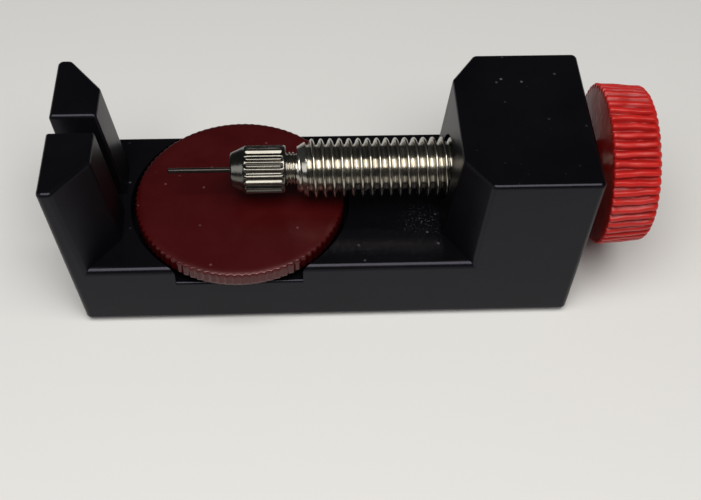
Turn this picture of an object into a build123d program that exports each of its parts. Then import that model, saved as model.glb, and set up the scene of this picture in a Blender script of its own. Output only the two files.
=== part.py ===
from build123d import *
import math
import os

# Bracelet link-pin remover, millimetres, +Z up.
# X runs along the tool: fixed jaw at -X, knob at +X. Y = 0 is the mid plane. Z = 0 is the underside of the base pad.

# ---- moulded body: a flared U seen from the side ----
half_w = 12.4            # half width of the body
z_bottom = 0.5           # underside of the moulding, the pad stands 0.5 proud
z_deck = 10.8            # floor of the pocket between jaw and block
z_top = 25.65            # top of jaw and block
x_left_bottom, x_left_top = -36.52, -39.24      # outer face of the jaw leans out 6 deg
x_right_bottom, x_right_top = 29.40, 30.98      # outer face of the block leans out 3.6 deg
x_jaw_deck, x_jaw_top = -30.95, -33.09          # inner face of the jaw leans out 8 deg
x_blk_deck, x_blk_top = 11.91, 13.63            # inner face of the block leans out 6.6 deg
jaw_cx, jaw_cy = 4.35, 5.55                     # corner chamfers of the jaw
blk_cx_top, blk_cy_top = 3.25, 4.75             # corner chamfers of the block, at the top
blk_cx_deck, blk_cy_deck = 3.83, 5.6            # and at the deck
r_deck_edge = 0.9        # round along the front deck edge
r_deck_back = 0.4        # round along the back deck edge
r_chamfer = 0.8          # round beside the corner chamfers
r_corner = 0.8           # round on the four body corners
r_top = 0.6              # round on the top rims
r_slot = 0.3             # round on the mouth of the jaw slit
r_foot = 0.8             # round on the bottom rim
r_notch = 0.4            # round where the recess floor meets the side walls
jaw_slot_w = 2.8         # slit through the jaw that clears the ejected pin

# ---- disc recess in the deck ----
x_disc = -15.3           # lift axis
recess_r = 15.0
z_recess = 8.1
ring_bore_r = 5.3        # counterbore for the friction ring
z_ring_bore = 5.0
key_w, key_r = 1.8, 6.5  # keyway for the ring's tab

# ---- lifting disc ----
disc_r = 14.3
disc_z0, disc_z1 = 9.55, 11.75
disc_bevel = 0.28
disc_teeth = 90
disc_tooth_depth = 0.12
stud_r = 3.0             # M6 x 0.75
stud_z0, stud_z1 = 2.4, 10.95
stud_neck_r = 2.4
stud_neck_z0, stud_neck_z1 = 6.4, 7.4
lift_bush_r = 4.6
lift_bush_z0 = 0.9
thread_gap = 0.05        # radial running clearance in the threads
ring_r_in, ring_r_out, ring_t = 2.45, 5.24, 0.9
tab_w, tab_r = 1.7, 6.4

# ---- spindle line ----
z_axis = 16.7
spindle_r = 4.0          # M8 x 1.25
x_thread0 = -7.40        # shoulder where the main thread starts
x_thread1 = 32.75        # shoulder the knob seats on
nose_r = 2.28            # M4.5 x 0.5 nose for the cap nut
x_nose0 = -13.20
nose_bore_r = 1.25
x_nose_bore = -9.70
shank_r = 3.0            # flatted shank inside the knob
shank_flat = 2.35
x_shank1 = 35.35
tap_r = 1.5              # M3 tapped hole for the knob screw
x_tap0 = 29.0

# ---- push pin ----
pin_r = 0.35
pin_r_back = 0.54        # thicker shank inside the cap nut, just proud of its front
x_pin_tip = -24.70
x_pin_step = -16.40
head_r = 1.20
x_head0, x_head1 = -13.92, -9.78

# ---- cap nut ----
nut_r = 3.20
x_nut0, x_cone1, x_nut1 = -16.28, -14.50, -8.88
nut_front_r = 2.34
nut_hole_r = 0.62
nut_thread_r = 2.33
nut_grooves = 20
nut_groove_r = 0.27

# ---- block bush ----
bush_r = 5.6
x_bush0, x_bush1 = 16.0, 28.6
flange_r, flange_t = 7.4, 1.2
clear_r = 4.35           # clearance hole in the moulding ahead of the bush

# ---- knob ----
knob_r = 10.95           # at the inner end
knob_r_out = 10.45       # at the outer end, the moulding tapers
x_knob0, x_knob1 = 32.80, 39.24
knob_ribs = 50
rib_depth = 0.38
knob_round = 0.7
cap_pocket_r, x_cap_seat = 8.5, 37.5
screw_pocket_r, x_web = 5.0, 35.4
cap_r, cap_t = 8.42, 1.2
washer_r, washer_t = 4.2, 0.6
screw_head_r, screw_head_h = 2.75, 1.25
x_screw_tip = 30.2

# ---- base pad ----
pad_x0, pad_x1, pad_y, pad_t, pad_r = -35.2, 28.1, 11.6, 0.9, 1.5
pad_gap = 0.08

os.makedirs("parts", exist_ok=True)


def xcyl(r, x0, x1, y=0.0, z=None):
    """Cylinder along X from x0 to x1 on the spindle axis."""
    z = z_axis if z is None else z
    return Pos((x0 + x1) / 2, y, z) * Rot(0, 90, 0) * Cylinder(r, x1 - x0)


def zcyl(r, z0, z1, x=x_disc, y=0.0):
    return Pos(x, y, (z0 + z1) / 2) * Cylinder(r, z1 - z0)


def box(x0, x1, y0, y1, z0, z1):
    return Pos((x0 + x1) / 2, (y0 + y1) / 2, (z0 + z1) / 2) * Box(x1 - x0, y1 - y0, z1 - z0)


def turned(points):
    """Solid of revolution about the spindle axis from (x, r) points."""
    face = make_face(Polyline(*[(x, 0, z_axis + r) for x, r in points], close=True))
    return revolve(face, Axis((0, 0, z_axis), (1, 0, 0)), 360)


def turned_z(points):
    """Solid of revolution about the lift axis from (r, z) points."""
    face = make_face(Polyline(*[(x_disc + r, 0, z) for r, z in points], close=True))
    return revolve(face, Axis((x_disc, 0, 0), (0, 0, 1)), 360)


def prism(bottom, top, z0, z1):
    """Straight-sided solid between two polygons."""
    a = make_face(Polyline(*[(x, y, z0) for x, y in bottom], close=True))
    b = make_face(Polyline(*[(x, y, z1) for x, y in top], close=True))
    return loft([a, b], ruled=True)


def ribbed(n, r_out, depth, share):
    """Plan outline of a ribbed wheel: n raised ribs with sloping flanks, as points on the XY plane."""
    pts = []
    for i in range(n):
        a = 2 * math.pi * i / n
        w = 2 * math.pi / n
        for f, r in ((-0.5 * share, r_out), (0.5 * share, r_out), (0.5 * share + 0.12, r_out - depth), (1 - 0.5 * share - 0.12, r_out - depth)):
            pts.append((r * math.cos(a + f * w), r * math.sin(a + f * w)))
    return pts


def only(shape):
    """The single solid of a result, cut loose from the shape it came from, so that later fillets act on this one."""
    s = shape.solids()
    assert len(s) == 1, len(s)
    s[0].topo_parent = None
    return s[0]


# ================= body =================
side = make_face(Polyline(
    (x_left_bottom, -half_w, z_bottom), (x_right_bottom, -half_w, z_bottom),
    (x_right_top, -half_w, z_top), (x_blk_top, -half_w, z_top),
    (x_blk_deck, -half_w, z_deck), (x_jaw_deck, -half_w, z_deck),
    (x_jaw_top, -half_w, z_top), (x_left_top, -half_w, z_top), close=True))
body = extrude(side, amount=2 * half_w, dir=(0, 1, 0))


def corner_cut(x_d, x_t, cxd, cyd, cxt, cyt, s, sy):
    """Wedge that takes a corner off jaw (s=-1) or block (s=+1) on side sy."""
    def tri(x, cx, cy):
        k = 1.6
        p = (x - s * cx * (k - 1), sy * (half_w - cy * k))      # along the cut line, past the inner face
        q = (x + s * cx * k, sy * (half_w + cy * (k - 1)))      # past the side face
        return [p, q, (x - s * 2 * cx, sy * (half_w + cy * 1.2))]
    dz = 1.0
    t = (z_top + dz - z_deck) / (z_top - z_deck)
    x_e = x_d + (x_t - x_d) * t
    cx_e, cy_e = cxd + (cxt - cxd) * t, cyd + (cyt - cyd) * t
    return prism(tri(x_d, cxd, cyd), tri(x_e, cx_e, cy_e), z_deck, z_top + dz)


for sy in (-1, 1):
    body -= corner_cut(x_jaw_deck, x_jaw_top, jaw_cx, jaw_cy, jaw_cx, jaw_cy, -1, sy)
    body -= corner_cut(x_blk_deck, x_blk_top, blk_cx_deck, blk_cy_deck, blk_cx_top, blk_cy_top, 1, sy)
body = only(body)


def mid(e):
    return e.center()


def is_deck_edge(e):
    c = mid(e)
    return abs(c.Z - z_deck) < 0.01 and abs(abs(c.Y) - half_w) < 0.01 and e.length > 20


body = only(fillet(body.edges().filter_by(lambda e: is_deck_edge(e) and mid(e).Y < 0), r_deck_edge))
body = only(fillet(body.edges().filter_by(lambda e: is_deck_edge(e) and mid(e).Y > 0), r_deck_back))


def upright(e):
    """Edges that run up the tool rather than along or across it."""
    return abs(e.tangent_at(0.5).Z) > 0.8


def corner(e):
    """The four outer corners of the body."""
    return upright(e) and abs(abs(mid(e).Y) - half_w) < 0.01 and (mid(e).X < -37 or mid(e).X > 29)


def beside_chamfer(e):
    """Both sides of every corner chamfer."""
    return upright(e) and abs(mid(e).Y) > 3 and -37 < mid(e).X < 25


def slit_mouth(e):
    return upright(e) and abs(abs(mid(e).Y) - jaw_slot_w / 2) < 0.01 and mid(e).X < -25


def rounded(shape, pick, radii):
    """Round the picked edges with the first radius that gives one valid solid."""
    for r in radii:
        try:
            cand = only(fillet(shape.edges().filter_by(pick), r))
        except Exception:
            continue
        ok = cand.is_valid if isinstance(cand.is_valid, bool) else cand.is_valid()
        # rounding outside edges only takes a little material away
        if ok and 0 < shape.volume - cand.volume < 150:
            print("rounded", r, round(shape.volume - cand.volume, 2))
            return cand
    raise ValueError("no radius holds")


# slit through the jaw
body = only(body - box(x_left_top - 2, x_jaw_deck + 0.4, -jaw_slot_w / 2, jaw_slot_w / 2, z_deck, z_top + 1))
body = rounded(body, beside_chamfer, (r_chamfer,))
body = rounded(body, corner, (r_corner,))
body = rounded(body, lambda e: abs(mid(e).Z - z_top) < 0.01, (r_top,))
body = rounded(body, slit_mouth, (r_slot,))
body = rounded(body, lambda e: abs(mid(e).Z - z_bottom) < 0.01, (r_foot,))

# recess for the disc, open through both side walls
body = only(body - zcyl(recess_r, z_recess, z_deck + 2))
body = rounded(body, lambda e: abs(mid(e).Z - z_recess) < 0.01 and abs(abs(mid(e).Y) - half_w) < 0.01, (r_notch,))
# counterbore and keyway for the friction ring, bore for the lift bush
body -= zcyl(ring_bore_r, z_ring_bore, z_recess + 0.5)
body -= box(x_disc, x_disc + key_r, -key_w / 2, key_w / 2, z_ring_bore, z_recess + 0.5)
body -= zcyl(lift_bush_r, z_bottom - 0.5, z_ring_bore + 0.2)
# spindle clearance, bush bore and flange seat in the block
body -= xcyl(clear_r, x_blk_deck - 1, x_bush0 + 0.5)
body -= xcyl(bush_r, x_bush0, x_right_top + 2)
body -= xcyl(flange_r + 0.1, x_bush1, x_right_top + 2)
# shallow seat for the pad
seat = extrude(Pos((pad_x0 + pad_x1) / 2, 0, z_bottom - 0.2) * RectangleRounded(
    pad_x1 - pad_x0 + 2 * pad_gap, 2 * pad_y + 2 * pad_gap, pad_r + pad_gap), amount=pad_t - z_bottom + 0.2)
body -= seat
body = only(body)


def is_clear(space):
    """True where the body leaves the given space open."""
    left = body & space
    return left is None or sum(p.volume for p in left.solids()) < 0.01


# every opening that another piece or a pushed-out pin needs
assert is_clear(box(x_left_top - 1, x_jaw_deck, -jaw_slot_w / 2 + 0.05, jaw_slot_w / 2 - 0.05, z_deck + 0.05, z_top))
assert is_clear(zcyl(recess_r - 0.05, z_recess + 0.05, z_deck))
assert is_clear(xcyl(spindle_r, x_blk_deck - 1, x_right_top))
assert is_clear(zcyl(stud_r, z_bottom, z_deck))
export_step(body, "parts/frame_body.step")

# ================= base pad =================
pad = extrude(Pos((pad_x0 + pad_x1) / 2, 0, 0) * RectangleRounded(pad_x1 - pad_x0, 2 * pad_y, pad_r), amount=pad_t)
pad = chamfer(pad.faces().sort_by(Axis.Z)[0].edges(), 0.12)
export_step(only(pad), "parts/base_pad.step")

# ================= lift parts =================
lift_bush = zcyl(lift_bush_r, lift_bush_z0, z_ring_bore) - zcyl(stud_r + thread_gap, lift_bush_z0 - 1, z_ring_bore + 1)
export_step(only(lift_bush), "parts/lift_bush.step")

outline = make_face(Polyline(*[(x_disc + x, y, disc_z0) for x, y in ribbed(disc_teeth, disc_r, disc_tooth_depth, 0.45)], close=True))
disc = extrude(outline, amount=disc_z1 - disc_z0, dir=(0, 0, 1))
b = disc_bevel
disc &= turned_z([(0, disc_z0), (disc_r - b, disc_z0), (disc_r + 0.01, disc_z0 + b + 0.01),
                  (disc_r + 0.01, disc_z1 - b - 0.01), (disc_r - b, disc_z1), (0, disc_z1)])
disc -= zcyl(stud_r, disc_z0 - 1, stud_z1)
export_step(only(disc), "parts/lift_disc.step")

stud = turned_z([(0, stud_z0), (stud_r - 0.5, stud_z0), (stud_r, stud_z0 + 0.5), (stud_r, stud_neck_z0),
                 (stud_neck_r, stud_neck_z0), (stud_neck_r, stud_neck_z1), (stud_r, stud_neck_z1),
                 (stud_r, stud_z1), (0, stud_z1)])
export_step(only(stud), "parts/lift_stud.step")

ring_z0 = stud_neck_z0 + 0.05
ring = zcyl(ring_r_out, ring_z0, ring_z0 + ring_t)
ring += box(x_disc + ring_r_out - 1, x_disc + tab_r, -tab_w / 2, tab_w / 2, ring_z0, ring_z0 + ring_t)
ring -= zcyl(ring_r_in, ring_z0 - 1, ring_z0 + ring_t + 1)
# split so that it can be opened over the stud's neck
ring -= box(x_disc - ring_r_out - 1, x_disc, -0.6, 0.6, ring_z0 - 1, ring_z0 + ring_t + 1)
export_step(only(ring), "parts/friction_ring.step")

# ================= spindle =================
spindle = turned([
    (x_nose0, 0), (x_nose0, nose_r - 0.25), (x_nose0 + 0.25, nose_r), (x_thread0, nose_r),
    (x_thread0, spindle_r - 0.75), (x_thread0 + 0.75, spindle_r), (x_thread1 - 0.4, spindle_r),
    (x_thread1, spindle_r - 0.4), (x_thread1, shank_r), (x_shank1, shank_r), (x_shank1, 0)])
spindle -= xcyl(nose_bore_r, x_nose0 - 1, x_nose_bore)
spindle -= xcyl(tap_r, x_tap0, x_shank1 + 1)
spindle -= box(x_thread1, x_shank1 + 1, -5, 5, z_axis + shank_flat, z_axis + 5)
export_step(only(spindle), "parts/spindle.step")

nut = turned([
    (x_nut0, nut_hole_r), (x_nut0, nut_front_r), (x_cone1, nut_r - 0.15), (x_cone1 + 0.15, nut_r),
    (x_nut1 - 0.25, nut_r), (x_nut1, nut_r - 0.25), (x_nut1, nut_thread_r), (x_nose0 - 0.1, nut_thread_r),
    (x_nose0 - 0.1, head_r + 0.06), (x_head0 - 0.08, head_r + 0.06), (x_head0 - 0.08, nut_hole_r)])
for i in range(nut_grooves):
    a = 2 * math.pi * (i + 0.5) / nut_grooves
    nut -= xcyl(nut_groove_r, x_cone1 + 0.55, x_nut1 - 0.45, (nut_r + 0.05) * math.cos(a), z_axis + (nut_r + 0.05) * math.sin(a))
export_step(only(nut), "parts/cap_nut.step")

pin = turned([
    (x_pin_tip, 0), (x_pin_tip, pin_r - 0.06), (x_pin_tip + 0.06, pin_r), (x_pin_step, pin_r), (x_pin_step, pin_r_back), (x_head0, pin_r_back),
    (x_head0, head_r - 0.1), (x_head0 + 0.1, head_r), (x_head1, head_r), (x_head1, 0)])
export_step(only(pin), "parts/push_pin.step")

bush = xcyl(bush_r, x_bush0, x_bush1 + 0.01) + xcyl(flange_r, x_bush1, x_bush1 + flange_t)
bush -= xcyl(spindle_r + thread_gap, x_bush0 - 1, x_bush1 + flange_t + 1)
export_step(only(bush), "parts/spindle_bush.step")

# ================= knob =================
stars = [make_face(Polyline(*[(x, p, z_axis + q) for p, q in ribbed(knob_ribs, r, rib_depth, 0.42)], close=True))
         for x, r in ((x_knob0, knob_r + 0.02), (x_knob1, knob_r_out - 0.02))]
knob = loft(stars, ruled=True)
k = knob_round
knob &= turned([
    (x_knob0, 0), (x_knob0, knob_r - 0.3), (x_knob0 + 0.3, knob_r), (x_knob1 - k, knob_r_out),
    (x_knob1 - 0.29 * k, knob_r_out - 0.29 * k), (x_knob1, knob_r_out - k), (x_knob1, 0)])
knob -= xcyl(cap_pocket_r, x_cap_seat, x_knob1 + 1)
knob -= xcyl(screw_pocket_r, x_web, x_cap_seat + 0.5)
hub_hole = xcyl(shank_r, x_knob0 - 1, x_web + 0.5) - box(x_knob0 - 2, x_web + 1, -5, 5, z_axis + shank_flat, z_axis + 5)
knob -= hub_hole
export_step(only(knob), "parts/knob.step")

cap = turned([
    (x_cap_seat, 0), (x_cap_seat, cap_r), (x_cap_seat + cap_t - 0.2, cap_r), (x_cap_seat + cap_t, cap_r - 0.2), (x_cap_seat + cap_t, 0)])
export_step(only(cap), "parts/knob_cap.step")

washer = xcyl(washer_r, x_web, x_web + washer_t) - xcyl(tap_r + 0.1, x_web - 1, x_web + 2)
export_step(only(washer), "parts/knob_washer.step")

x_head = x_web + washer_t
screw = turned([
    (x_screw_tip, 0), (x_screw_tip, tap_r - 0.3), (x_screw_tip + 0.3, tap_r), (x_head, tap_r), (x_head, screw_head_r),
    (x_head + 0.7 * screw_head_h, screw_head_r), (x_head + screw_head_h, screw_head_r - 0.5), (x_head + screw_head_h, 0)])
for a in (0, 90):
    screw -= Pos(x_head + screw_head_h, 0, z_axis) * Rot(a, 0, 0) * Box(1.4, 0.6, 2.8)
export_step(only(screw), "parts/knob_screw.step")

for f in sorted(os.listdir("parts")):
    print(f)
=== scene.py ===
import math

import bmesh
import bpy
import numpy as np
from mathutils import Matrix, Vector


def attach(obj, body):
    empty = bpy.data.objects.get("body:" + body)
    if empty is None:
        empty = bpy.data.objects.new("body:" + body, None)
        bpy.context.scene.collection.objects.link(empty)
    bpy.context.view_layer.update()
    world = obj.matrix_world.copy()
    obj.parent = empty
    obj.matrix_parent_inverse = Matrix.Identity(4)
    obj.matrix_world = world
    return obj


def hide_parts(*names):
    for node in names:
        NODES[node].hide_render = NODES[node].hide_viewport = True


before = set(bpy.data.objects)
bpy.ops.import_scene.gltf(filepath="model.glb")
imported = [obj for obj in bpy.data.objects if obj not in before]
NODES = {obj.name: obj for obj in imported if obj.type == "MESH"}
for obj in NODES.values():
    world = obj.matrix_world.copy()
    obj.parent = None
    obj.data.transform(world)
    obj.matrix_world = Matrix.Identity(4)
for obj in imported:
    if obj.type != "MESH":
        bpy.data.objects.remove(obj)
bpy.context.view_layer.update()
MM = 0.001

# ------------------------------------------------------------------ dimensions (mm)
Z_AXIS = 16.7
X_DISC = -15.3
PITCH = 1.25
PATCH = (9.4, -4.3, 10.8)      # dusty spot on the deck


# ------------------------------------------------------------------ mesh helpers
def mesh_object(name, verts, faces, smooth=True):
    me = bpy.data.meshes.new(name)
    me.from_pydata([(x * MM, y * MM, z * MM) for x, y, z in verts], [], faces)
    me.validate()
    me.update()
    if smooth:
        for p in me.polygons:
            p.use_smooth = True
    o = bpy.data.objects.new(name, me)
    bpy.context.scene.collection.objects.link(o)
    return o


def sharp_by_angle(o, deg):
    """Marks edges sharper than deg, so that smooth shading keeps them crisp."""
    bm = bmesh.new()
    bm.from_mesh(o.data)
    lim = math.radians(deg)
    for e in bm.edges:
        if len(e.link_faces) == 2:
            e.smooth = e.calc_face_angle(0.0) < lim
        else:
            e.smooth = False
    for f in bm.faces:
        f.smooth = True
    bm.to_mesh(o.data)
    bm.free()


def lathe_grid(name, stations, nseg, radius, frame_of, close_start=True, close_end=True, share_twist=None):
    """Closed surface from a grid: stations along the axis, nseg round it.
    radius(s, a) gives the radius, frame_of(s, r, a) the point."""
    verts, faces = [], []
    for s in stations:
        for j in range(nseg):
            a = 2 * math.pi * j / nseg
            verts.append(frame_of(s, radius(s, a), a))
    n = len(stations)
    for i in range(n - 1):
        for j in range(nseg):
            k = (j + 1) % nseg
            faces.append((i * nseg + j, i * nseg + k, (i + 1) * nseg + k, (i + 1) * nseg + j))
    if close_start:
        faces.append(tuple(range(nseg))[::-1])
    if close_end:
        faces.append(tuple((n - 1) * nseg + j for j in range(nseg)))
    o = mesh_object(name, verts, faces)
    bm = bmesh.new()
    bm.from_mesh(o.data)
    bmesh.ops.recalc_face_normals(bm, faces=bm.faces)
    bm.to_mesh(o.data)
    bm.free()
    return o


def on_x(s, r, a):
    return (s, r * math.cos(a), Z_AXIS + r * math.sin(a))


def on_z(s, r, a):
    return (X_DISC + r * math.cos(a), r * math.sin(a), s)


def profile_x(name, pts, nseg, radius=None, ends=(True, True)):
    """Turned part about the spindle axis from (x, r) points; radius(x, r, a) may add ribs or grooves."""
    verts, faces = [], []
    for x, r in pts:
        for j in range(nseg):
            a = 2 * math.pi * j / nseg
            rr = radius(x, r, a) if radius else r
            verts.append((x, rr * math.cos(a), Z_AXIS + rr * math.sin(a)))
    n = len(pts)
    for i in range(n - 1):
        for j in range(nseg):
            k = (j + 1) % nseg
            faces.append((i * nseg + j, i * nseg + k, (i + 1) * nseg + k, (i + 1) * nseg + j))
    if ends[0]:
        faces.append(tuple(range(nseg))[::-1])
    if ends[1]:
        faces.append(tuple((n - 1) * nseg + j for j in range(nseg)))
    if not ends[0] and not ends[1]:
        for j in range(nseg):
            k = (j + 1) % nseg
            faces.append(((n - 1) * nseg + j, (n - 1) * nseg + k, k, j))
    o = mesh_object(name, verts, faces)
    bm = bmesh.new()
    bm.from_mesh(o.data)
    bmesh.ops.recalc_face_normals(bm, faces=bm.faces)
    bm.to_mesh(o.data)
    bm.free()
    return o


def smoothstep(a, b, x):
    t = min(1.0, max(0.0, (x - a) / (b - a)))
    return t * t * (3 - 2 * t)


def hash01(i, k=0):
    """Repeatable number in 0..1 from two integers."""
    v = math.sin(i * 127.1 + k * 311.7 + 17.3) * 43758.5453
    return v - math.floor(v)


# ------------------------------------------------------------------ material helpers
def new_mat(name):
    m = bpy.data.materials.new(name)
    m.use_nodes = True
    nt = m.node_tree
    bsdf = nt.nodes["Principled BSDF"]
    return m, nt, bsdf


def node(nt, kind, **props):
    n = nt.nodes.new(kind)
    for k, v in props.items():
        setattr(n, k, v)
    return n


def object_coords(nt, scale=1.0):
    tc = node(nt, "ShaderNodeTexCoord")
    mp = node(nt, "ShaderNodeMapping")
    mp.inputs["Scale"].default_value = (scale, scale, scale) if not isinstance(scale, tuple) else scale
    nt.links.new(tc.outputs["Object"], mp.inputs["Vector"])
    return mp.outputs["Vector"]


def noise(nt, vec, scale, detail=3.0, rough=0.55, dist=0.0):
    n = node(nt, "ShaderNodeTexNoise")
    n.inputs["Scale"].default_value = scale
    n.inputs["Detail"].default_value = detail
    n.inputs["Roughness"].default_value = rough
    n.inputs["Distortion"].default_value = dist
    nt.links.new(vec, n.inputs["Vector"])
    return n.outputs["Fac"]


def ramp(nt, fac, stops):
    r = node(nt, "ShaderNodeValToRGB")
    el = r.color_ramp.elements
    while len(el) > 1:
        el.remove(el[-1])
    el[0].position = stops[0][0]
    el[0].color = stops[0][1]
    for p, c in stops[1:]:
        e = el.new(p)
        e.color = c
    nt.links.new(fac, r.inputs["Fac"])
    return r.outputs["Color"]


def maprange(nt, fac, a, b, c, d):
    n = node(nt, "ShaderNodeMapRange")
    n.inputs["From Min"].default_value = a
    n.inputs["From Max"].default_value = b
    n.inputs["To Min"].default_value = c
    n.inputs["To Max"].default_value = d
    nt.links.new(fac, n.inputs["Value"])
    return n.outputs["Result"]


def math_node(nt, op, a, b=None):
    n = node(nt, "ShaderNodeMath", operation=op)
    for i, v in enumerate((a, b)):
        if v is None:
            continue
        if isinstance(v, (int, float)):
            n.inputs[i].default_value = v
        else:
            nt.links.new(v, n.inputs[i])
    return n.outputs[0]


def bump(nt, bsdf, height, strength, distance):
    b = node(nt, "ShaderNodeBump")
    b.inputs["Strength"].default_value = strength
    b.inputs["Distance"].default_value = distance
    nt.links.new(height, b.inputs["Height"])
    nt.links.new(b.outputs["Normal"], bsdf.inputs["Normal"])
    return b


def grey(v):
    return (v, v, v, 1.0)


# ------------------------------------------------------------------ materials
def mat_body():
    """Satin black moulding with faint mottling and sparse pale dust."""
    m, nt, b = new_mat("body_black")
    v = object_coords(nt)
    fine = noise(nt, v, 1400.0, 3.0, 0.6)
    broad = noise(nt, v, 90.0, 4.0, 0.6)
    col = ramp(nt, broad, [(0.3, (0.0018, 0.0017, 0.0024, 1)), (0.75, (0.0034, 0.0033, 0.0044, 1))])
    # dust: small cells kept only where a broad mask is high, and only on faces that look up
    vo = node(nt, "ShaderNodeTexVoronoi")
    vo.inputs["Scale"].default_value = 1500.0
    vo.inputs["Randomness"].default_value = 1.0
    nt.links.new(v, vo.inputs["Vector"])
    sep = node(nt, "ShaderNodeSeparateColor")
    nt.links.new(vo.outputs["Color"], sep.inputs["Color"])
    pick = maprange(nt, sep.outputs[0], 0.93, 0.96, 0.0, 1.0)
    spot = maprange(nt, vo.outputs["Distance"], 0.18, 0.34, 1.0, 0.0)
    geo = node(nt, "ShaderNodeNewGeometry")
    nz = node(nt, "ShaderNodeSeparateXYZ")
    nt.links.new(geo.outputs["Normal"], nz.inputs[0])
    up = maprange(nt, nz.outputs[2], 0.5, 0.9, 0.0, 1.0)
    where = maprange(nt, noise(nt, v, 170.0, 2.0, 0.5), 0.46, 0.66, 0.0, 1.0)
    dust = math_node(nt, "MULTIPLY", math_node(nt, "MULTIPLY", pick, spot), math_node(nt, "MULTIPLY", up, where))
    # a granular patch of dust on the deck beside the block
    px = node(nt, "ShaderNodeVectorMath", operation="DISTANCE")
    px.inputs[1].default_value = (PATCH[0] * MM, PATCH[1] * MM, PATCH[2] * MM)
    nt.links.new(v, px.inputs[0])
    near = maprange(nt, px.outputs["Value"], 0.0008, 0.0036, 1.0, 0.0)
    grain = maprange(nt, noise(nt, v, 3800.0, 2.0, 0.6), 0.60, 0.74, 0.0, 1.0)
    patch = math_node(nt, "MULTIPLY", math_node(nt, "MULTIPLY", near, grain), up)
    total = math_node(nt, "MAXIMUM", math_node(nt, "MULTIPLY", dust, 0.55), math_node(nt, "MULTIPLY", patch, 0.6))
    mix = node(nt, "ShaderNodeMix", data_type="RGBA")
    nt.links.new(total, mix.inputs["Factor"])
    nt.links.new(col, mix.inputs[6])
    mix.inputs[7].default_value = (0.14, 0.13, 0.15, 1)
    nt.links.new(mix.outputs[2], b.inputs["Base Color"])
    soft = math_node(nt, "MULTIPLY", math_node(nt, "SUBTRACT", 1.0, up), 0.17)
    nt.links.new(math_node(nt, "ADD", maprange(nt, broad, 0.3, 0.75, 0.13, 0.21), soft), b.inputs["Roughness"])
    b.inputs["Specular IOR Level"].default_value = 0.20
    b.inputs["Specular Tint"].default_value = (0.84, 0.81, 1.0, 1)
    low = noise(nt, v, 260.0, 2.0, 0.5)
    h = math_node(nt, "ADD", math_node(nt, "MULTIPLY", fine, 0.25), low)
    bump(nt, b, h, 0.10, 0.0003)
    return m


def mat_simple(name, color, metallic, rough, bump_scale=None, bump_d=0.0001, bump_s=0.1, spec=0.5):
    m, nt, b = new_mat(name)
    b.inputs["Base Color"].default_value = (*color, 1)
    b.inputs["Metallic"].default_value = metallic
    b.inputs["Roughness"].default_value = rough
    b.inputs["Specular IOR Level"].default_value = spec
    if bump_scale:
        v = object_coords(nt)
        bump(nt, b, noise(nt, v, bump_scale, 3.0, 0.6), bump_s, bump_d)
    return m


def mat_nickel(name="spindle_nickel", k=1.0):
    m, nt, b = new_mat(name)
    v = object_coords(nt)
    broad = noise(nt, v, 350.0, 4.0, 0.6)
    col = ramp(nt, broad, [(0.3, (0.33 * k, 0.31 * k, 0.27 * k, 1)), (0.7, (0.50 * k, 0.475 * k, 0.42 * k, 1))])
    nt.links.new(col, b.inputs["Base Color"])
    b.inputs["Metallic"].default_value = 1.0
    nt.links.new(maprange(nt, broad, 0.3, 0.7, 0.14, 0.24), b.inputs["Roughness"])
    bump(nt, b, noise(nt, v, 2200.0, 2.0, 0.6), 0.12, 0.0001)
    return m


def mat_disc():
    m, nt, b = new_mat("disc_red")
    v = object_coords(nt)
    broad = noise(nt, v, 120.0, 5.0, 0.65)
    col = ramp(nt, broad, [(0.25, (0.045, 0.0018, 0.0022, 1)), (0.8, (0.066, 0.0026, 0.0032, 1))])
    # a few pale specks on the anodising
    vo = node(nt, "ShaderNodeTexVoronoi")
    vo.inputs["Scale"].default_value = 1300.0
    nt.links.new(v, vo.inputs["Vector"])
    sep = node(nt, "ShaderNodeSeparateColor")
    nt.links.new(vo.outputs["Color"], sep.inputs["Color"])
    pick = maprange(nt, sep.outputs[1], 0.982, 0.992, 0.0, 1.0)
    spot = maprange(nt, vo.outputs["Distance"], 0.16, 0.32, 0.6, 0.0)
    mix = node(nt, "ShaderNodeMix", data_type="RGBA")
    nt.links.new(math_node(nt, "MULTIPLY", pick, spot), mix.inputs["Factor"])
    nt.links.new(col, mix.inputs[6])
    mix.inputs[7].default_value = (0.34, 0.17, 0.16, 1)
    nt.links.new(mix.outputs[2], b.inputs["Base Color"])
    b.inputs["Metallic"].default_value = 0.3
    nt.links.new(maprange(nt, broad, 0.3, 0.7, 0.26, 0.36), b.inputs["Roughness"])
    bump(nt, b, noise(nt, v, 1500.0, 3.0, 0.6), 0.1, 0.0001)
    return m


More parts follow.
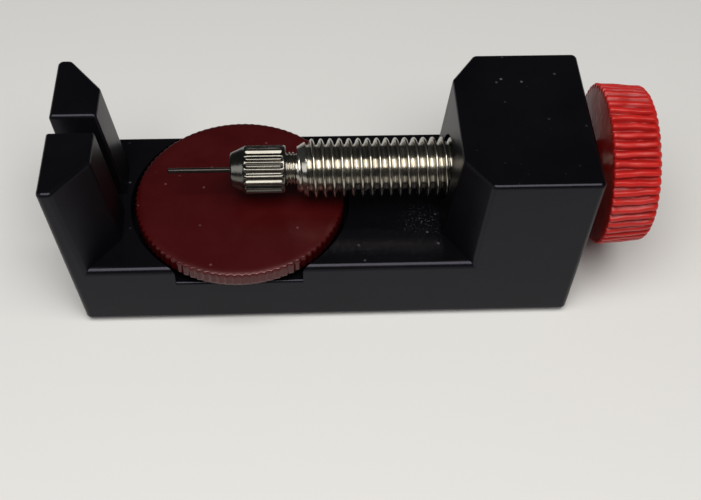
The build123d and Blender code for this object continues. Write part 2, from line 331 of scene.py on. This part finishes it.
def mat_knob():
    m, nt, b = new_mat("knob_red")
    v = object_coords(nt)
    broad = noise(nt, v, 220.0, 4.0, 0.6)
    col = ramp(nt, broad, [(0.3, (0.36, 0.010, 0.008, 1)), (0.75, (0.50, 0.016, 0.012, 1))])
    # painted shade: the grooves and the inner face get a darker red, standing in for the shade that falls there; the
    # rounded outer end keeps the plain red
    sx = node(nt, "ShaderNodeSeparateXYZ")
    nt.links.new(v, sx.inputs[0])
    zz = math_node(nt, "SUBTRACT", sx.outputs[2], Z_AXIS * MM)
    rr = math_node(nt, "SQRT", math_node(nt, "ADD", math_node(nt, "MULTIPLY", sx.outputs[1], sx.outputs[1]),
                                         math_node(nt, "MULTIPLY", zz, zz)), 0.0)
    taper = math_node(nt, "MULTIPLY", math_node(nt, "SUBTRACT", sx.outputs[0], 32.80 * MM), 0.0776)
    rib = maprange(nt, math_node(nt, "ADD", rr, taper), 10.50 * MM, 10.86 * MM, 0.0, 1.0)
    outer = maprange(nt, sx.outputs[0], 38.2 * MM, 38.8 * MM, 0.0, 1.0)
    mix = node(nt, "ShaderNodeMix", data_type="RGBA")
    nt.links.new(math_node(nt, "MAXIMUM", rib, outer), mix.inputs["Factor"])
    # painted shade colour for the grooves and the inner face
    mix.inputs[6].default_value = (0.25, 0.0065, 0.0060, 1)
    nt.links.new(col, mix.inputs[7])
    nt.links.new(mix.outputs[2], b.inputs["Base Color"])
    nt.links.new(maprange(nt, broad, 0.3, 0.75, 0.28, 0.42), b.inputs["Roughness"])
    b.inputs["Specular IOR Level"].default_value = 0.32
    b.inputs["Subsurface Weight"].default_value = 0.05
    b.inputs["Subsurface Scale"].default_value = 0.001
    bump(nt, b, noise(nt, object_coords(nt, (0.35, 1.0, 1.0)), 900.0, 3.0, 0.6), 0.25, 0.0003)
    return m


M_BODY = mat_body()
M_NICKEL = mat_nickel()
# painted shade: the nut gets a copy of the spindle nickel darkened to a third, standing in for its duller reflections
M_NUT = mat_nickel("nut_nickel_painted_shade", 0.33)
M_DISC = mat_disc()
M_KNOB = mat_knob()
M_CAP = mat_simple("cap_red", (0.5, 0.008, 0.014), 0.0, 0.3, 900.0)
M_PAD = mat_simple("pad_rubber", (0.018, 0.018, 0.018), 0.0, 0.85, 900.0, 0.0003, 0.4)
M_BRASS = mat_simple("insert_brass", (0.66, 0.44, 0.16), 1.0, 0.3, 1200.0)
M_STEEL = mat_simple("stud_steel", (0.52, 0.52, 0.53), 1.0, 0.32, 1200.0)
M_NYLON = mat_simple("ring_nylon", (0.78, 0.76, 0.70), 0.0, 0.5)
M_PIN = mat_simple("pin_steel", (0.030, 0.027, 0.025), 1.0, 0.30, 2500.0)


def paint(o, m):
    o.data.materials.clear()
    o.data.materials.append(m)


# ------------------------------------------------------------------ body and small parts (CAD mesh as imported, given materials)
def refine_cad(name, mat, deg=32):
    o = NODES[name]
    paint(o, mat)
    return o


for n, m in (("frame_body", M_BODY), ("base_pad", M_PAD), ("spindle_bush", M_BRASS), ("lift_bush", M_BRASS),
             ("lift_stud", M_STEEL), ("friction_ring", M_NYLON), ("knob_washer", M_STEEL), ("knob_screw", M_STEEL), ("knob_cap", M_CAP)):
    refine_cad(n, m)


# ------------------------------------------------------------------ spindle with a rolled thread
def thread_r(x, a, x_ref, pitch, crest, root, crest_w=0.34, root_w=0.22):
    """Radius of a right-handed thread at station x, angle a: crest_w and root_w are shares of the pitch."""
    ph = (x - x_ref) / pitch - a / (2 * math.pi)
    ph -= math.floor(ph)
    d = min(ph, 1 - ph) * 2          # 0 at the crest, 1 at the root
    c, r = crest_w, 1 - root_w
    if d <= c:
        return crest - (crest - root) * 0.17 * (d / c) ** 2
    if d >= r:
        return root + (crest - root) * 0.10 * ((1 - d) / root_w) ** 2
    t = (d - c) / (r - c)
    return crest - (crest - root) * (0.17 + 0.73 * t)


def build_spindle():
    x_ref = -4.19 - PITCH * 45.4 / 360.0
    nseg = 80
    st = [-13.2, -12.95, -12.5]
    x = -9.2
    while x < -7.52:
        st.append(x)
        x += 0.5 / 9
    st += [-7.5, -7.42]
    x = -7.40
    while x < 32.35:
        st.append(x)
        x += PITCH / 15
    st += [32.5, 32.75]

    def radius(s, a):
        if s < -9.21:
            return 2.03 if s <= -13.19 else (2.28 if s > -12.96 else 2.2)
        if s < -7.51:
            return thread_r(s, a, -9.0, 0.5, 2.28, 1.98)
        if s < -7.41:
            return 2.05
        env = min(4.0, 2.98 + (s + 7.40) * 0.58, 4.0 if s < 32.3 else 4.0 - (s - 32.3) * 0.9)
        return min(thread_r(s, a, x_ref, PITCH, 3.99, 3.10), env)

    o = lathe_grid("spindle_detail", st, nseg, radius, on_x)
    # shank that carries the knob
    sh = profile_x("spindle_shank", [(32.7, 2.98), (35.2, 2.98), (35.3, 2.85)], 48)
    return o, sh


spindle, shank = build_spindle()
for o in (spindle, shank):
    paint(o, M_NICKEL)
    sharp_by_angle(o, 50)
    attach(o, "screw")
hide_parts("spindle")


# ------------------------------------------------------------------ cap nut with round-ended flutes
def build_nut():
    n_fl, per = 20, 16
    nseg = n_fl * per
    x0, xc, x1 = -16.28, -14.50, -8.88
    f0, f1 = xc + 0.12, x1 - 0.34          # flute ends
    run = 0.55                             # length over which a flute fades out
    pts = [(x0, 0.62), (x0, 0.7), (x0, 1.2), (x0, 2.1), (x0, 2.24), (x0 + 0.07, 2.32)]
    k = 7
    for i in range(1, k):
        t = i / k
        pts.append((x0 + 0.07 + t * (xc - x0 - 0.07), 2.32 + t * (3.08 - 2.32)))
    pts += [(xc - 0.04, 3.08), (xc + 0.05, 3.15)]
    x = f0
    while x < f0 + run + 0.05:
        pts.append((x, 3.2))
        x += 0.06
    while x < f1 - run - 0.05:
        pts.append((x, 3.2))
        x += 0.6
    x = f1 - run - 0.04
    while x < f1 + 0.04:
        pts.append((x, 3.2))
        x += 0.06
    pts += [(x1 - 0.20, 3.19), (x1 - 0.06, 3.08), (x1, 2.98), (x1, 2.6), (x1, 2.36), (x1 - 0.05, 2.33), (-13.3, 2.33),
            (-13.3, 1.26), (-14.0, 1.26), (-14.0, 0.62)]

    def radius(x, r, a):
        if r < 3.14 or x < f0 or x > f1:
            return r
        u = a / (2 * math.pi) * n_fl
        u -= math.floor(u)
        e = min(1.0, min(x - f0, f1 - x) / run)
        full = math.sqrt(max(0.0, 1 - (1 - e) ** 2))       # round end of the flute
        c = 0.5 + 0.5 * math.cos(2 * math.pi * u)          # 1 in the middle of a flute, 0 on a ridge
        return r - 0.29 * full * max(0.0, (c - 0.5 * (1 - full)) / (1 - 0.5 * (1 - full)))

    return profile_x("cap_nut_detail", pts, nseg, radius, ends=(False, False))


nut = build_nut()
paint(nut, M_NUT)
sharp_by_angle(nut, 40)
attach(nut, "screw")
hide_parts("cap_nut")

# ------------------------------------------------------------------ push pin
pin = profile_x("push_pin_detail", [(-24.70, 0.20), (-24.68, 0.28), (-24.62, 0.335), (-24.54, 0.35), (-16.40, 0.35), (-16.36, 0.50), (-16.30, 0.54),
                                    (-13.92, 0.54), (-13.92, 1.1), (-13.82, 1.2), (-9.85, 1.2), (-9.78, 1.12)], 40)
paint(pin, M_PIN)
sharp_by_angle(pin, 40)
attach(pin, "pin")
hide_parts("push_pin")


# ------------------------------------------------------------------ lifting disc
def build_disc():
    n_t, per = 90, 8
    nseg = n_t * per
    R, z0, z1 = 14.3, 9.55, 11.75
    pts = [(1.5, z0), (6.0, z0), (R - 1.2, z0), (R - 0.45, z0), (R - 0.25, z0 + 0.05), (R - 0.08, z0 + 0.2), (R, z0 + 0.32)]
    for i in range(1, 5):
        pts.append((R, z0 + 0.32 + (z1 - z0 - 0.66) * i / 5))
    pts += [(R, z1 - 0.34), (R - 0.07, z1 - 0.22), (R - 0.18, z1 - 0.11), (R - 0.34, z1 - 0.05), (R - 0.5, z1 - 0.03),
            (R - 0.56, z1), (R - 1.2, z1), (9.0, z1), (4.0, z1), (1.5, z1)]

    def tooth(a):
        u = a / (2 * math.pi) * n_t
        u -= math.floor(u)
        d = abs(u - 0.5) * 2           # 1 on a ridge, 0 in a groove
        return 0.17 * (1 - smoothstep(0.1, 0.95, d))

    verts, faces = [], []
    for r, z in pts:
        edge = smoothstep(R - 0.30, R - 0.02, r)
        for j in range(nseg):
            a = 2 * math.pi * j / nseg
            rr = r - tooth(a) * edge
            verts.append((X_DISC + rr * math.cos(a), rr * math.sin(a), z))
    n = len(pts)
    for i in range(n - 1):
        for j in range(nseg):
            k = (j + 1) % nseg
            faces.append((i * nseg + j, i * nseg + k, (i + 1) * nseg + k, (i + 1) * nseg + j))
    faces.append(tuple(range(nseg))[::-1])
    faces.append(tuple((n - 1) * nseg + j for j in range(nseg)))
    o = mesh_object("lift_disc_detail", verts, faces)
    bm = bmesh.new()
    bm.from_mesh(o.data)
    bmesh.ops.recalc_face_normals(bm, faces=bm.faces)
    bm.to_mesh(o.data)
    bm.free()
    return o


disc = build_disc()
paint(disc, M_DISC)
sharp_by_angle(disc, 60)
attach(disc, "table")
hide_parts("lift_disc")


# ------------------------------------------------------------------ knob with rough moulded ribs
def build_knob():
    n_r, per = 52, 12
    nseg = n_r * per
    R, R_OUT = 10.92, 10.42
    x0, x1 = 32.80, 39.24
    pts = [(x0, 3.02), (x0, 6.0), (x0, R - 1.0), (x0, R - 0.45), (x0 + 0.05, R - 0.2), (x0 + 0.16, R - 0.05), (x0 + 0.3, R)]
    k = 16
    for i in range(1, k):
        pts.append((x0 + 0.3 + (x1 - x0 - 1.15) * i / k, R))
    for i in range(0, 9):
        t = math.pi / 2 * i / 8
        pts.append((x1 - 0.85 + 0.85 * math.sin(t), R - 0.85 + 0.85 * math.cos(t)))
    pts += [(x1, R - 1.4), (x1, 8.75), (x1 - 0.05, 8.6), (x1 - 0.2, 8.5), (37.5, 8.5), (37.5, 5.0), (35.4, 5.0), (35.4, 3.02)]

    def radius(x, r, a):
        if r < 8.8:
            return r
        drop = (R - R_OUT) * smoothstep(R - 2.0, R - 0.9, r) * (x - x0) / (x1 - x0)
        u = a / (2 * math.pi) * n_r
        i = math.floor(u)
        edge = smoothstep(R - 1.5, R - 0.6, r)
        # each rib wanders a little and differs in height and width
        wob = 0.07 * math.sin(0.8 * x + 6.28 * hash01(i, 1)) + 0.025 * math.sin(2.3 * x + 6.28 * hash01(i, 2))
        f = u - i + wob * 0.8
        f = min(1.0, max(0.0, f))
        d = abs(f - 0.5) * 2
        depth = 0.50 * (0.85 + 0.3 * hash01(i, 3))
        groove = smoothstep(0.28, 1.0, d)
        low = 0.06 * hash01(i, 4) + 0.035 * math.sin(1.7 * x + 6.28 * hash01(i, 5))
        return r - drop - edge * (depth * groove + max(0.0, low))

    verts, faces = [], []
    for x, r in pts:
        for j in range(nseg):
            a = 2 * math.pi * j / nseg
            rr = radius(x, r, a)
            verts.append((x, rr * math.cos(a), Z_AXIS + rr * math.sin(a)))
    n = len(pts)
    for i in range(n):
        i2 = (i + 1) % n
        for j in range(nseg):
            k2 = (j + 1) % nseg
            faces.append((i * nseg + j, i * nseg + k2, i2 * nseg + k2, i2 * nseg + j))
    o = mesh_object("knob_detail", verts, faces)
    bm = bmesh.new()
    bm.from_mesh(o.data)
    bmesh.ops.recalc_face_normals(bm, faces=bm.faces)
    bm.to_mesh(o.data)
    bm.free()
    return o


knob = build_knob()
paint(knob, M_KNOB)
sharp_by_angle(knob, 45)
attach(knob, "screw")
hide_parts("knob")

# ------------------------------------------------------------------ floor, lights, camera
scene = bpy.context.scene
scene.view_settings.view_transform = "Standard"
scene.view_settings.look = "None"


def floor():
    me = bpy.data.meshes.new("floor")
    s = 1.5
    me.from_pydata([(-s, -s, 0), (s, -s, 0), (s, s, 0), (-s, s, 0)], [], [(0, 1, 2, 3)])
    o = bpy.data.objects.new("floor", me)
    scene.collection.objects.link(o)
    m, nt, b = new_mat("floor_pale")
    b.inputs["Base Color"].default_value = (0.66, 0.66, 0.655, 1)
    b.inputs["Roughness"].default_value = 0.6
    paint(o, m)
    return o


def area(name, loc, target, size, power, color=(1, 1, 1), size_y=None):
    d = bpy.data.lights.new(name, "AREA")
    d.energy = power
    d.color = color
    d.size = size
    if size_y:
        d.shape = "RECTANGLE"
        d.size_y = size_y
    o = bpy.data.objects.new(name, d)
    o.location = loc
    o.rotation_euler = (Vector(target) - Vector(loc)).to_track_quat("-Z", "Y").to_euler()
    scene.collection.objects.link(o)
    return o


floor()
world = bpy.data.worlds.new("world")
scene.world = world
world.use_nodes = True
world.node_tree.nodes["Background"].inputs["Color"].default_value = (0.86, 0.92, 1.0, 1)
world.node_tree.nodes["Background"].inputs["Strength"].default_value = 0.055
area("overhead", (0.0, -0.16, 0.40), (0, 0, 0.01), 0.42, 2.5, (1.0, 0.975, 0.93), 0.30)
area("left_soft", (-0.40, -0.16, 0.22), (0, 0, 0.01), 0.22, 0.22, (0.95, 0.97, 1.0))

cam_d = bpy.data.cameras.new("camera")
cam_d.sensor_fit = "HORIZONTAL"
cam_d.sensor_width = 36.0
cam_d.lens = 61.79
cam = bpy.data.objects.new("camera", cam_d)
r = Vector((0.99908785, -0.03932729, 0.01663813))
u = Vector((0.01932284, 0.76382271, 0.64513681))
d = Vector((0.03808006, 0.64422685, -0.7638859))
rot = Matrix((r, u, -d)).transposed()
cam.matrix_world = Matrix.Translation(Vector((-6.606, -112.656, 133.155)) * MM) @ rot.to_4x4()
cam_d.clip_start = 0.005
cam_d.clip_end = 10
scene.collection.objects.link(cam)
scene.camera = cam
